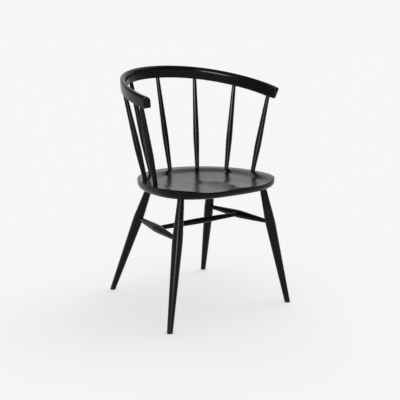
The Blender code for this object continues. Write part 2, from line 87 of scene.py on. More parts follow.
# Seat height, slope and edge
SEAT_HEIGHT = 0.4235
SEAT_SLOPE = math.radians(2.3)
SEAT_THICKNESS = 0.0295
SEAT_TOP_ROUNDING = 0.003
SEAT_EDGE_BAND = 0.0085
SEAT_UNDER_EASE = 0.019

# Seat saddling: a dish inside a border, its low lip at the front, and a pommel ridge
DISH_DEPTH = 0.0075
DISH_BOWL = 0.0030
DISH_WALL = 0.046
DISH_SIDE_BORDER = 0.023
DISH_BACK_BORDER = 0.0415
DISH_FRONT_RUNOUT = 0.060
DISH_LIP = 0.0009
DISH_LIP_RUN = 0.030
POMMEL_SHARE = 0.90
POMMEL_BACK_END = 0.050
POMMEL_RISE = 0.120
POMMEL_FRONT_FALL = 0.055
POMMEL_FRONT_SHARE = 0.50
POMMEL_BACK_HALF_WIDTH = 0.034
POMMEL_SPREAD = 0.20
POMMEL_CREST_ROUNDING = 0.05

# Bow
BOW_HEIGHT = 0.0399
BOW_THICKNESS = 0.0187
BOW_OUTER_ROUNDING = 0.0070
BOW_INNER_EASE = 0.0156
BOW_LOWER_ROUNDING = 0.0035
BOW_BACK_RADIUS = 0.2235
BOW_BACK_TURN = math.radians(58.4)
BOW_ARM_RADIUS = 0.3593
BOW_SLOPE = math.radians(9.7)
BOW_BACK_LEAN = math.radians(4.9)
BOW_ARM_LEAN = math.radians(14.0)
BOW_LEAN_START = 0.153
BOW_ARM_OVERHANG = 0.0403
BOW_END_ROUNDING = 0.0077
BOW_END_TAPER = 0.0115
BOW_END_RAKE = math.radians(12.5)
BOW_END_TURN = math.radians(28.0)
BOW_END_RUN = 0.0286
BOW_END_RELIEF = 0.0022
BOW_RELIEF_SHARE = 0.5

# Spindles: lengths along the bow and the seat between them, counted from the back centre
BOW_REAR_LENGTH = 0.1347
BOW_SIDE_LENGTH = 0.1457
BOW_ARM_LENGTH = 0.1559
SEAT_REAR_LENGTH = 0.0985
SEAT_SIDE_LENGTH = 0.1042
SEAT_ARM_LENGTH = 0.1136
SPINDLE_SIDE_INSET = 0.0206
SPINDLE_BACK_INSET = 0.0372
SPINDLE_TOP_DIAMETER = 0.0130
SPINDLE_SWELL_DIAMETER = 0.0204
SPINDLE_FOOT_DIAMETER = 0.0145
SPINDLE_SWELL_SHARE = 0.36
SPINDLE_SWELL_BLEND = 0.020
SPINDLE_SEAT_TENON = 0.016
SPINDLE_BOW_TENON = 0.013
SPINDLE_TIP_DIAMETER = 0.0095
SPINDLE_CROSSING = 0.0045

# Legs: sockets measured in from the seat's edges, splay outward, rake to the front or rear
FRONT_LEG_SIDE_INSET = 0.0533
FRONT_LEG_FRONT_INSET = 0.0928
FRONT_LEG_SPLAY = math.radians(10.8)
FRONT_LEG_RAKE = math.radians(7.5)
BACK_LEG_SIDE_INSET = 0.0861
BACK_LEG_BACK_INSET = 0.1090
BACK_LEG_SPLAY = math.radians(9.95)
BACK_LEG_RAKE = math.radians(20.85)
LEG_TOP_DIAMETER = 0.0212
LEG_SWELL_DIAMETER = 0.0323
LEG_FOOT_DIAMETER = 0.0180
LEG_SWELL_BLEND = 0.020
LEG_TENON = 0.016

# Stretchers
STRETCHER_FRONT_HEIGHT = 0.2747
STRETCHER_BACK_HEIGHT = 0.2715
SIDE_STRETCHER_END_DIAMETER = 0.0140
SIDE_STRETCHER_SWELL_DIAMETER = 0.0265
SIDE_STRETCHER_SWELL_BLEND = 0.020
SIDE_STRETCHER_TENON = 0.019
CROSS_STRETCHER_END_DIAMETER = 0.0145
CROSS_STRETCHER_SWELL_DIAMETER = 0.0198
CROSS_STRETCHER_SWELL_BLEND = 0.030
CROSS_STRETCHER_TENON = 0.0125

# How finely the shapes are drawn, and shares that keep a blend or a rounding inside its piece
OUTLINE_STEPS = 240
TURNED_STEPS = 64
BOW_STEPS = 96
BOW_END_STEPS = 14
ROUNDING_STEPS = 8
SWELL_STEPS = 20
TAPER_STEPS = 8
SEAT_TOP_STEPS = 64
CURVE_STEPS = 400
BLEND_LIMIT = 0.9
BOW_END_LIMIT = 0.42
SHARP_EDGE_ANGLE = math.radians(50.0)

# The share of each end that the middle of a quadratic curve takes
CURVE_END_SHARE = 0.25

# How far apart the pieces lie in the wood, so that they don't show the same grain
TURNED_COLUMNS = 7
TURNED_COLUMN_STEP = 0.31
TURNED_ROWS = 5
TURNED_ROW_STEP = 0.23
LEG_SIDE_STEP = 0.4
LEG_FRONT_STEP = 0.3

# Lacquers: the figure's cells for each metre across the grain, the least and the most roughness,
# and the specular level
SEAT_LACQUER = (45.0, 0.21, 0.27, 0.15)
BOW_LACQUER = (110.0, 0.19, 0.25, 0.11)
TURNED_LACQUER = (160.0, 0.18, 0.26, 0.11)

# Colours
LACQUER_DARK = (0.0018, 0.0018, 0.0023, 1.0)
LACQUER_LIGHT = (0.0034, 0.0034, 0.0040, 1.0)
LACQUER_WORN = (0.016, 0.015, 0.015, 1.0)
LACQUER_REFLECTION = (0.90, 0.92, 1.0, 1.0)
WHITE = (1.0, 1.0, 1.0, 1.0)

# Noises in the wood: cells for each metre, across and along the grain, then detail and roughness
PORE_NOISE = ((1500.0, 1500.0, 40.0), 2.0, 0.5)
BRUSHING_NOISE = ((260.0, 260.0, 90.0), 2.0, 0.5)
FIGURE_ALONG = 4.0
FIGURE_DETAIL = 3.0
FIGURE_ROUGHNESS = 0.55

# The ranges of noise, or of an edge's pointiness, over which each effect comes in
PORE_RANGE = (0.30, 0.44)
WEAR_RANGE = (0.52, 0.60)
TONE_RANGE = (0.35, 0.65)
GLOSS_RANGE = (0.30, 0.70)

# How much each effect changes the lacquer
WEAR_TINT = 0.5
WEAR_POLISH = 0.05
PORE_DULLNESS = 0.10
PORE_HEIGHT = -1.0
BRUSHING_HEIGHT = 0.6
BUMP_STRENGTH = 0.25
BUMP_DISTANCE = 0.00006

# Camera, at the photo's angle
CAMERA_PLACE = Vector((-1.39416, -2.04940, 0.94709))
CAMERA_AZIMUTH = math.radians(-34.5446)
CAMERA_ELEVATION = math.radians(13.7767)
CAMERA_ROLL = math.radians(0.1386)
CAMERA_LENS = 70.157
CAMERA_SENSOR = 36.0

# Studio: panels and strips have an azimuth from +Y towards +X, a half width, their low and high
# elevations, all in degrees, and a strength. The horizon's light fades into the sky's between its
# band and its top, which are sines of the elevation.
FLOOR_SIZE = 400.0
FLOOR_COLOUR = (0.60, 0.60, 0.60, 1.0)
FLOOR_GLOW = 0.505
HORIZON_LIGHT = 0.922
SKY_LIGHT = 0.06
HORIZON_BAND = 0.08
HORIZON_TOP = 0.11
PANEL_SOFTNESS = math.radians(5.0)
BACKDROP_PANEL = (35.0, 50.0, -10.0, 50.0, 0.88)
SIDE_PANEL = (95.0, 25.0, 30.0, 65.0, 1.8)
FRONT_STRIP = (-142.0, 6.0, -4.0, 13.0, 30.0)
LEFT_STRIP = (-116.0, 18.0, 19.0, 36.0, 30.0)
STRIP_DISTANCE = 4.0
STRIP_TARGET = Vector((0.0, 0.0, 0.45))
FRONT_STRIP_LACQUERS = ("turned_lacquer",)
LEFT_STRIP_LACQUERS = ("bow_lacquer", "turned_lacquer")
OVERHEAD_LIGHT = 1.2
OVERHEAD_SPREAD = math.radians(100.0)


def ease_in_out(amount):
    """A smooth ramp from 0 to 1."""
    amount = min(max(amount, 0.0), 1.0)
    return amount * amount * (3.0 - 2.0 * amount)


# Meshes

def skin(name, rings, grain, placement, replaced, material):
    """Draw a closed skin over rings of points in the placement's frame, with a fan over each end.

    The grain is a function that gives a point's place in the wood, whose fibres run along its Z,
    from the point's index and the point.
    """
    rings = np.array([[tuple(point) for point in ring] for ring in rings])
    ring_count, count, _ = rings.shape
    points = rings.reshape(-1, 3)
    ends = [rings[0].mean(axis=0), rings[-1].mean(axis=0)]
    points = np.vstack([points, ends])
    first_middle = ring_count * count
    faces = []
    for row in range(ring_count - 1):
        for step in range(count):
            following = (step + 1) % count
            low, high = row * count, (row + 1) * count
            faces.append((low + step, low + following, high + following, high + step))
    last = (ring_count - 1) * count
    for step in range(count):
        following = (step + 1) % count
        faces.append((first_middle, following, step))
        faces.append((first_middle + 1, last + step, last + following))
    mesh = bpy.data.meshes.new(name)
    mesh.from_pydata(points.tolist(), [], faces)
    mesh.validate()
    mesh.transform(placement)
    mesh.shade_smooth()
    mesh.set_sharp_from_angle(angle=SHARP_EDGE_ANGLE)
    wood = mesh.attributes.new("wood_place", "FLOAT_VECTOR", "POINT")
    places = np.array([grain(index, point) for index, point in enumerate(points)], dtype=np.float32)
    wood.data.foreach_set("vector", places.ravel())
    mesh.materials.append(material)
    piece = bpy.data.objects.new(name, mesh)
    bpy.context.scene.collection.objects.link(piece)
    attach(piece, "root")
    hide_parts(replaced)


def turned_rings(profile):
    """Rings of a turned piece that runs along +Z, from (height, radius) pairs."""
    rings = []
    for height, radius in profile:
        ring = []
        for step in range(TURNED_STEPS):
            angle = 2.0 * math.pi * step / TURNED_STEPS
            ring.append((radius * math.cos(angle), radius * math.sin(angle), height))
        rings.append(ring)
    return rings


def swelling(low_end, swell_at, high_end, low_radius, swell_radius, high_radius, blend):
    """Two straight tapers that meet in a rounded swelling, as (height, radius) pairs."""
    low_run = swell_at - low_end
    high_run = high_end - swell_at
    blend = min(blend, BLEND_LIMIT * low_run, BLEND_LIMIT * high_run)
    ends_pull = CURVE_END_SHARE * blend * (low_radius / low_run + high_radius / high_run)
    crossing_share = 1.0 - CURVE_END_SHARE * blend * (1.0 / low_run + 1.0 / high_run)
    crossing = (swell_radius - ends_pull) / crossing_share
    low_blend = crossing + (low_radius - crossing) * blend / low_run
    high_blend = crossing + (high_radius - crossing) * blend / high_run
    profile = []
    for step in range(TAPER_STEPS):
        share = step / TAPER_STEPS
        height = low_end + (low_run - blend) * share
        profile.append((height, low_radius + (low_blend - low_radius) * share))
    for step in range(SWELL_STEPS + 1):
        share = step / SWELL_STEPS
        height = swell_at + blend * (2.0 * share - 1.0)
        radius = (1.0 - share) ** 2 * low_blend
        radius += 2.0 * share * (1.0 - share) * crossing
        radius += share ** 2 * high_blend
        profile.append((height, radius))
    for step in range(1, TAPER_STEPS + 1):
        share = step / TAPER_STEPS
        height = swell_at + blend + (high_run - blend) * share
        profile.append((height, high_blend + (high_radius - high_blend) * share))
    return profile


def placed_along(start, direction):
    """A placement whose origin is the start point and whose +Z runs along the direction."""
    turn = direction.to_track_quat("Z", "Y").to_matrix().to_4x4()
    return Matrix.Translation(start) @ turn


def turned_piece(name, profile, placement, material):
    """Draw a turned piece, with its own stretch of wood."""
    count = len(bpy.data.objects)
    shift = Vector((
        (count % TURNED_COLUMNS) * TURNED_COLUMN_STEP,
        (count % TURNED_ROWS) * TURNED_ROW_STEP,
        0.0,
    ))

    def grain(index, point):
        return (point[0] + shift.x, point[1] + shift.y, point[2])

    skin(name + "_turned", turned_rings(profile), grain, placement, name, material)


# Seat

def outline_reach(angle, half_width, front_reach, back_reach):
    """How far an outline lies from the middle of its widest line, at an angle from +X."""
    across = abs(math.cos(angle)) / half_width
    if math.sin(angle) < 0.0:
        along = abs(math.sin(angle)) / front_reach
        squareness = SEAT_FRONT_SQUARENESS
    else:
        along = abs(math.sin(angle)) / back_reach
        squareness = SEAT_BACK_SQUARENESS
    return (across ** squareness + along ** squareness) ** (-1.0 / squareness)


def seat_reach(angle):
    return outline_reach(angle, SEAT_WIDTH / 2.0, SEAT_FRONT_REACH, SEAT_BACK_REACH)


def pommel_rise(across, along, depth):
    """Height of the pommel above the dish, a ridge that widens towards the front."""
    run = POMMEL_BACK_END - along
    if run <= 0.0:
        return 0.0
    height = POMMEL_SHARE * depth * ease_in_out(run / POMMEL_RISE)
    fall = 1.0 - ease_in_out((along + SEAT_FRONT_REACH) / POMMEL_FRONT_FALL)
    height *= 1.0 - (1.0 - POMMEL_FRONT_SHARE) * fall
    half_width = POMMEL_BACK_HALF_WIDTH + POMMEL_SPREAD * run
    off_crest = math.hypot(across / half_width, POMMEL_CREST_ROUNDING) - POMMEL_CREST_ROUNDING
    return height * max(0.0, 1.0 - off_crest) ** 2


def seat_surface(across, along):
    """Height of the saddled top above the plane of its rim, at a place on the seat."""
    distance = math.hypot(across, along)
    angle = math.atan2(along, across)
    half_width = SEAT_WIDTH / 2.0 - DISH_SIDE_BORDER
    dish_reach = outline_reach(
        angle,
        half_width,
        SEAT_FRONT_REACH + DISH_FRONT_RUNOUT,
        SEAT_BACK_REACH - DISH_BACK_BORDER,
    )
    inside = dish_reach - distance
    wall = ease_in_out(inside / DISH_WALL)
    bowl = max(0.0, 1.0 - (distance / dish_reach) ** 2)
    depth = DISH_DEPTH * wall + DISH_BOWL * bowl
    rim_distance = seat_reach(angle) - distance
    depth -= DISH_LIP * wall * max(0.0, 1.0 - rim_distance / DISH_LIP_RUN) ** 2
    return pommel_rise(across, along, depth) - depth


def seat_placement():
    """The seat's frame: its origin is on the rim plane, at the middle of the widest line."""
    front_edge = SEAT_FRONT_REACH * math.cos(SEAT_SLOPE)
    front_edge += (SEAT_TOP_ROUNDING + SEAT_EDGE_BAND) * math.sin(SEAT_SLOPE)
    origin = Vector((0.0, front_edge - OVERALL_DEPTH / 2.0, SEAT_HEIGHT))
    return Matrix.Translation(origin) @ Matrix.Rotation(-SEAT_SLOPE, 4, "X")


def seat_ring(place):
    """One ring of the seat, where place gives (reach, height) at an angle."""
    ring = []
    for step in range(OUTLINE_STEPS):
        angle = 2.0 * math.pi * step / OUTLINE_STEPS
        reach, height = place(angle)
        ring.append((reach * math.cos(angle), reach * math.sin(angle), height))
    return ring


def rim_top(angle):
    reach = seat_reach(angle) - SEAT_TOP_ROUNDING
    return seat_surface(reach * math.cos(angle), reach * math.sin(angle))


def under_ring(turn):
    """A ring of the eased underside, where turn runs from 0 at the edge band to 90 degrees."""
    band_foot = SEAT_TOP_ROUNDING + SEAT_EDGE_BAND
    inset = SEAT_UNDER_EASE * (1.0 - math.cos(turn))
    drop = band_foot + (SEAT_THICKNESS - band_foot) * math.sin(turn)
    return seat_ring(lambda angle: (seat_reach(angle) - inset, -drop))


def rounding_ring(turn):
    """A ring of the rounded top edge, where turn runs from 0 at the edge band to 90 degrees."""
    inset = SEAT_TOP_ROUNDING * (1.0 - math.cos(turn))
    rise = SEAT_TOP_ROUNDING * (math.sin(turn) - 1.0)
    return seat_ring(lambda angle: (seat_reach(angle) - inset, rim_top(angle) + rise))


def top_ring(share):
    """A ring of the saddled top at a share of the way from the centre to the rim."""

    def place(angle):
        reach = share * (seat_reach(angle) - SEAT_TOP_ROUNDING)
        return reach, seat_surface(reach * math.cos(angle), reach * math.sin(angle))

    return seat_ring(place)


def build_seat(material):
    quarter = [math.pi / 2.0 * step / ROUNDING_STEPS for step in range(ROUNDING_STEPS + 1)]
    rings = [under_ring(turn) for turn in reversed(quarter)]
    rings += [rounding_ring(turn) for turn in quarter]
    for step in range(1, SEAT_TOP_STEPS):
        rings.append(top_ring(1.0 - step / SEAT_TOP_STEPS))

    def grain(index, point):
        return (point[0], point[2], point[1])

    skin("seat_saddled", rings, grain, seat_placement(), "seat", material)


# Bow

def bow_end_rounding():
    """The radius that rounds an arm's end, which leaves a small flat on it."""
    return min(BOW_END_ROUNDING, BOW_END_LIMIT * BOW_THICKNESS)


def bow_section(drawn_in):
    """The bow's section as (outward, up) points about its middle.

    Drawn in runs from 0, the full section, to 1, the small flat at an arm's end.
    """
    half_height = BOW_HEIGHT / 2.0 - BOW_END_TAPER * drawn_in
    half_thickness = BOW_THICKNESS / 2.0 - bow_end_rounding() * drawn_in
    scale = half_thickness / (BOW_THICKNESS / 2.0)
    outer = BOW_OUTER_ROUNDING * scale
    ease = BOW_INNER_EASE * scale
    lower = BOW_LOWER_ROUNDING * scale
    ease_depth = 2.0 * half_thickness - outer
    corners = [
        (half_thickness - outer, half_height - outer, outer, outer),
        (ease_depth - half_thickness, half_height - ease, ease_depth, ease),
        (lower - half_thickness, lower - half_height, lower, lower),
        (half_thickness - lower, lower - half_height, lower, lower),
    ]
    points = []
    for quarter, (out_middle, up_middle, out_radius, up_radius) in enumerate(corners):
        for step in range(ROUNDING_STEPS + 1):
            turn = math.radians(90.0 * (quarter + step / ROUNDING_STEPS))
            points.append((
                out_middle + out_radius * math.cos(turn),
                up_middle + up_radius * math.sin(turn),
            ))
    return points


def bow_length():
    """Half the length of the bow's middle line, from the back centre to an arm's end."""
    return BOW_REAR_LENGTH + BOW_SIDE_LENGTH + BOW_ARM_LENGTH + BOW_ARM_OVERHANG


def bow_line(station):
    """Place (across, along) and turn of the middle line, at a distance from the back centre."""
    distance = abs(station)
    back_length = BOW_BACK_RADIUS * BOW_BACK_TURN
    turn = min(distance / BOW_BACK_RADIUS, BOW_BACK_TURN)
    across = BOW_BACK_RADIUS * math.sin(turn)
    along = BOW_BACK_RADIUS * (math.cos(turn) - 1.0)
    if distance > back_length:
        turn = BOW_BACK_TURN + (distance - back_length) / BOW_ARM_RADIUS
        across += BOW_ARM_RADIUS * (math.sin(turn) - math.sin(BOW_BACK_TURN))
        along += BOW_ARM_RADIUS * (math.cos(turn) - math.cos(BOW_BACK_TURN))
    side = math.copysign(1.0, station)
    return side * across, along, side * turn


def bow_lean(station):
    """How far the section leans outward from the bow's own upright, at a station."""
    run = bow_length() - BOW_LEAN_START
    share = ease_in_out((abs(station) - BOW_LEAN_START) / run)
    return BOW_BACK_LEAN + (BOW_ARM_LEAN - BOW_BACK_LEAN) * share


def bow_point(station, outward, up):
    """A point of the bow in its own frame, from its place in the section.

    Towards the arm ends the sections skew, so that the end faces turn outward and overhang. The
    lower edge rises a little there, in full from a share of the end's run on.
    """
    near_end = 1.0 - (bow_length() - abs(station)) / BOW_END_RUN
    near_end = min(max(near_end, 0.0), 1.0)
    below_middle = max(0.0, -2.0 * up / BOW_HEIGHT)
    up += BOW_END_RELIEF * below_middle * ease_in_out(near_end / BOW_RELIEF_SHARE)
    lean = bow_lean(station)
    out = outward * math.cos(lean) + up * math.sin(lean)
    height = up * math.cos(lean) - outward * math.sin(lean)
    skew = math.tan(BOW_END_RAKE) * height - math.tan(BOW_END_TURN) * out
    reach = abs(station) + skew * near_end
    across, along, turn = bow_line(math.copysign(reach, station))
    return Vector((across + out * math.sin(turn), along + out * math.cos(turn), height))


def bow_placement():
    """The bow's frame: its origin is the middle of the section at the back centre."""
    turn = Matrix.Rotation(BOW_SLOPE, 4, "X")
    rear_reach = 0.0
    top_reach = 0.0
    for outward, up in bow_section(0.0):
        point = turn @ bow_point(0.0, outward, up)
        rear_reach = max(rear_reach, point.y)
        top_reach = max(top_reach, point.z)
    origin = Vector((0.0, OVERALL_DEPTH / 2.0 - rear_reach, OVERALL_HEIGHT - top_reach))
    return Matrix.Translation(origin) @ turn


def bow_stations():
    """(station, drawn in) of each ring, from the -X arm's end to the +X arm's end."""
    rounding = bow_end_rounding()
    body = bow_length() - rounding
    plain = bow_length() - BOW_END_RUN
    side = [(plain * step / BOW_STEPS, 0.0) for step in range(1, BOW_STEPS + 1)]
    for step in range(1, BOW_END_STEPS):
        side.append((plain + (body - plain) * step / BOW_END_STEPS, 0.0))
    for step in range(BOW_END_STEPS + 1):
        turn = math.pi / 2.0 * step / BOW_END_STEPS
        side.append((body + rounding * math.sin(turn), 1.0 - math.cos(turn)))
    other_side = [(-station, drawn_in) for station, drawn_in in reversed(side)]
    return other_side + [(0.0, 0.0)] + side


def build_bow(material):
    rings = []
    wood = []
    for station, drawn_in in bow_stations():
        section = bow_section(drawn_in)
        rings.append([bow_point(station, outward, up) for outward, up in section])
        wood += [(outward, up, station) for outward, up in section]
    wood += [(0.0, 0.0, -bow_length()), (0.0, 0.0, bow_length())]

    def grain(index, point):
        return wood[index]

    skin("bow_bent", rings, grain, bow_placement(), "bow", material)


# Spindles

def seat_foot(distance, side):
    """Where a spindle stands on the seat, at a distance along the rim from the back centre."""
    half_width = SEAT_WIDTH / 2.0 - SPINDLE_SIDE_INSET
    front_reach = SEAT_FRONT_REACH - SPINDLE_SIDE_INSET
    back_reach = SEAT_BACK_REACH - SPINDLE_BACK_INSET
    previous = Vector((0.0, back_reach))
    travelled = 0.0
    place = previous
    for step in range(1, CURVE_STEPS):
        if travelled >= distance:
            break
        angle = math.pi / 2.0 - math.pi * step / CURVE_STEPS
        reach = outline_reach(angle, half_width, front_reach, back_reach)
        place = Vector((reach * math.cos(angle), reach * math.sin(angle)))
        run = (place - previous).length
        if travelled + run > distance:
            place = previous.lerp(place, (distance - travelled) / run)
        travelled += (place - previous).length
        previous = place
    return Vector((side * place.x, place.y, seat_surface(place.x, place.y)))


def spindle_plan():
    """Name, distance along the bow, distance along the seat and side of each spindle."""
    bow_side = BOW_REAR_LENGTH + BOW_SIDE_LENGTH
    seat_side = SEAT_REAR_LENGTH + SEAT_SIDE_LENGTH
    plan = [("spindle_back", 0.0, 0.0, 1.0)]
    for side, word in ((-1.0, "left"), (1.0, "right")):
        plan.append(("spindle_rear_" + word, BOW_REAR_LENGTH, SEAT_REAR_LENGTH, side))
        plan.append(("spindle_side_" + word, bow_side, seat_side, side))
        bow_arm = bow_side + BOW_ARM_LENGTH
        seat_arm = seat_side + SEAT_ARM_LENGTH
        plan.append(("spindle_arm_" + word, bow_arm, seat_arm, side))
    return plan


def build_spindles(material):
    seat_frame = seat_placement()
    bow_frame = bow_placement()
    for name, bow_distance, seat_distance, side in spindle_plan():
        foot = seat_frame @ seat_foot(seat_distance, side)
        crossing_height = SPINDLE_CROSSING - BOW_HEIGHT / 2.0
        crossing = bow_frame @ bow_point(side * bow_distance, 0.0, crossing_height)
        direction = (crossing - foot).normalized()
        mouth = (crossing - foot).length - SPINDLE_CROSSING
        placement = placed_along(foot, direction)
        foot_radius = SPINDLE_FOOT_DIAMETER / 2.0
        profile = [(-SPINDLE_SEAT_TENON, foot_radius)]
        profile += swelling(
            foot_radius,
            SPINDLE_SWELL_SHARE * mouth,
            mouth,
            foot_radius,
            SPINDLE_SWELL_DIAMETER / 2.0,
            SPINDLE_TOP_DIAMETER / 2.0,
            SPINDLE_SWELL_BLEND,
        )
        profile.append((mouth + SPINDLE_BOW_TENON, SPINDLE_TIP_DIAMETER / 2.0))
        turned_piece(name, profile, placement, material)


# Legs and stretchers

def leg_line(side, at_front):
    """The foot's place on the floor, the unit direction up the leg, and its length to the seat."""
    half_width = SEAT_WIDTH / 2.0
    if at_front:
        across = half_width - FRONT_LEG_SIDE_INSET
        along = FRONT_LEG_FRONT_INSET - SEAT_FRONT_REACH
        splay, rake = FRONT_LEG_SPLAY, FRONT_LEG_RAKE
    else:
        across = half_width - BACK_LEG_SIDE_INSET
        along = SEAT_BACK_REACH - BACK_LEG_BACK_INSET
        splay, rake = BACK_LEG_SPLAY, -BACK_LEG_RAKE
    seat_point = seat_placement() @ Vector((side * across, along, -SEAT_THICKNESS))
    direction = Vector((-side * math.tan(splay), math.tan(rake), 1.0))
    foot = seat_point - direction * seat_point.z
    return foot, direction.normalized(), (seat_point - foot).length


def point_on_leg(side, at_front):
    """Where the side stretcher meets the leg's axis."""
    foot, direction, _ = leg_line(side, at_front)
    height = STRETCHER_FRONT_HEIGHT if at_front else STRETCHER_BACK_HEIGHT
    return foot + direction * (height / direction.z)


def build_leg(name, side, at_front, material):
    foot, direction, length = leg_line(side, at_front)
    placement = placed_along(foot, direction)
    joint = (point_on_leg(side, at_front) - foot).length
    top_radius = LEG_TOP_DIAMETER / 2.0
    profile = swelling(
        0.0,
        joint,
        length - top_radius,
        LEG_FOOT_DIAMETER / 2.0,
        LEG_SWELL_DIAMETER / 2.0,
        top_radius,
        LEG_SWELL_BLEND,
    )
    profile.append((length + LEG_TENON, top_radius))
    rings = turned_rings(profile)
    floor_normal = placement.to_3x3().inverted() @ Vector((0.0, 0.0, 1.0))
    taper = (profile[1][1] - profile[0][1]) / (profile[1][0] - profile[0][0])
    sole = []
    for x, y, _ in rings[0]:
        height = -(floor_normal.x * x + floor_normal.y * y) / floor_normal.z
        scale = 1.0 + taper * height / profile[0][1]
        sole.append((x * scale, y * scale, height * scale))
    rings[0] = sole

    def grain(index, point):
        return (point[0] + side * LEG_SIDE_STEP, point[1] + at_front * LEG_FRONT_STEP, point[2])

    skin(name + "_turned", rings, grain, placement, name, material)


def stretcher_profile(length, tenon_tip, neck, end_diameter, swell_diameter, blend):
    """A stretcher between two joint centres, with its swelling at mid length."""
    end_radius = end_diameter / 2.0
    profile = [(tenon_tip, end_radius)]
    profile += swelling(
        neck,
        length / 2.0,
        length - neck,
        end_radius,
        swell_diameter / 2.0,
        end_radius,
        blend,
    )
    profile.append((length - tenon_tip, end_radius))
    return profile


def build_side_stretcher(name, side, material):
    front = point_on_leg(side, True)
    back = point_on_leg(side, False)
    leg_radius = LEG_SWELL_DIAMETER / 2.0
    profile = stretcher_profile(
        (back - front).length,
        leg_radius - SIDE_STRETCHER_TENON,
        leg_radius + SIDE_STRETCHER_END_DIAMETER / 2.0,
        SIDE_STRETCHER_END_DIAMETER,
        SIDE_STRETCHER_SWELL_DIAMETER,
        SIDE_STRETCHER_SWELL_BLEND,
    )
    turned_piece(name, profile, placed_along(front, back - front), material)


def build_cross_stretcher(material):
    middles = {}
    for side in (-1.0, 1.0):
        middles[side] = (point_on_leg(side, True) + point_on_leg(side, False)) / 2.0
    across = middles[1.0] - middles[-1.0]
    side_radius = SIDE_STRETCHER_SWELL_DIAMETER / 2.0
    profile = stretcher_profile(
        across.length,
        side_radius - CROSS_STRETCHER_TENON,
        side_radius + CROSS_STRETCHER_END_DIAMETER / 2.0,
        CROSS_STRETCHER_END_DIAMETER,
        CROSS_STRETCHER_SWELL_DIAMETER,
        CROSS_STRETCHER_SWELL_BLEND,
    )
    placement = placed_along(middles[-1.0], across)
    turned_piece("stretcher_cross", profile, placement, material)


# Lacquer over wood

def add_node(tree, kind, **settings):
    node = tree.nodes.new(kind)
    for name, value in settings.items():
        setattr(node, name, value)
    return node


def stretched_noise(tree, wood_place, scale, detail, roughness):
    """Noise in the wood's own space, from a scale in cells for each metre across and along it."""
    mapping = add_node(tree, "ShaderNodeMapping")
    mapping.inputs["Scale"].default_value = scale
    tree.links.new(wood_place, mapping.inputs["Vector"])
    noise = add_node(tree, "ShaderNodeTexNoise")
    noise.inputs["Scale"].default_value = 1.0
    noise.inputs["Detail"].default_value = detail
    noise.inputs["Roughness"].default_value = roughness
    tree.links.new(mapping.outputs["Vector"], noise.inputs["Vector"])
    return noise.outputs["Fac"]


def ranged(tree, value, low, high, new_low, new_high):
    """A value moved from one range to another, and held inside it."""
    node = add_node(tree, "ShaderNodeMapRange", clamp=True)
    for name, number in (
        ("From Min", low),
        ("From Max", high),
        ("To Min", new_low),
        ("To Max", new_high),
    ):
        node.inputs[name].default_value = number
    tree.links.new(value, node.inputs["Value"])
    return node.outputs["Result"]


def combined(tree, operation, first, second):
    node = add_node(tree, "ShaderNodeMath", operation=operation)
    for socket, value in zip(node.inputs, (first, second)):
        if isinstance(value, float):
            socket.default_value = value
        else:
            tree.links.new(value, socket)
    return node.outputs["Value"]


def lacquered_wood(name, lacquer):
    """Black satin lacquer over wood, a little lighter and smoother where the edges are worn."""
    figure_across, least_roughness, most_roughness, specular_level = lacquer
    material = bpy.data.materials.new(name)
    material.use_nodes = True
    tree = material.node_tree
    surface = tree.nodes["Principled BSDF"]
    surface.inputs["Specular IOR Level"].default_value = specular_level
    surface.inputs["Specular Tint"].default_value = LACQUER_REFLECTION
    attribute = add_node(tree, "ShaderNodeAttribute", attribute_name="wood_place")
    wood_place = attribute.outputs["Vector"]

    pores = stretched_noise(tree, wood_place, *PORE_NOISE)
    pore = ranged(tree, pores, *PORE_RANGE, 1.0, 0.0)
    figure_scale = (figure_across, figure_across, FIGURE_ALONG)
    figure = stretched_noise(tree, wood_place, figure_scale, FIGURE_DETAIL, FIGURE_ROUGHNESS)
    brushing = stretched_noise(tree, wood_place, *BRUSHING_NOISE)
    edge = add_node(tree, "ShaderNodeNewGeometry").outputs["Pointiness"]
    wear = ranged(tree, edge, *WEAR_RANGE, 0.0, 1.0)

    tone = ranged(tree, figure, *TONE_RANGE, 0.0, 1.0)
    body = add_node(tree, "ShaderNodeMix", data_type="RGBA")
    body.inputs["A"].default_value = LACQUER_DARK
    body.inputs["B"].default_value = LACQUER_LIGHT
    tree.links.new(tone, body.inputs["Factor"])
    worn = add_node(tree, "ShaderNodeMix", data_type="RGBA")
    worn.inputs["B"].default_value = LACQUER_WORN
    tree.links.new(combined(tree, "MULTIPLY", wear, WEAR_TINT), worn.inputs["Factor"])
    tree.links.new(body.outputs["Result"], worn.inputs["A"])
    tree.links.new(worn.outputs["Result"], surface.inputs["Base Color"])

    gloss = ranged(tree, figure, *GLOSS_RANGE, least_roughness, most_roughness)
    gloss = combined(tree, "ADD", gloss, combined(tree, "MULTIPLY", pore, PORE_DULLNESS))
    gloss = combined(tree, "SUBTRACT", gloss, combined(tree, "MULTIPLY", wear, WEAR_POLISH))
    tree.links.new(gloss, surface.inputs["Roughness"])

    relief = combined(tree, "MULTIPLY", pore, PORE_HEIGHT)
    relief = combined(tree, "ADD", relief, combined(tree, "MULTIPLY", brushing, BRUSHING_HEIGHT))
    bump = add_node(tree, "ShaderNodeBump")
    bump.inputs["Strength"].default_value = BUMP_STRENGTH
    bump.inputs["Distance"].default_value = BUMP_DISTANCE
    tree.links.new(relief, bump.inputs["Height"])
    tree.links.new(bump.outputs["Normal"], surface.inputs["Normal"])
    return material


# Studio

def background_ray(tree):
    """1 for a ray from the camera, a reflection or a transmission, and otherwise 0."""
    path = add_node(tree, "ShaderNodeLightPath").outputs
    seen = combined(tree, "MAXIMUM", path["Is Glossy Ray"], path["Is Transmission Ray"])
    return combined(tree, "MAXIMUM", path["Is Camera Ray"], seen)


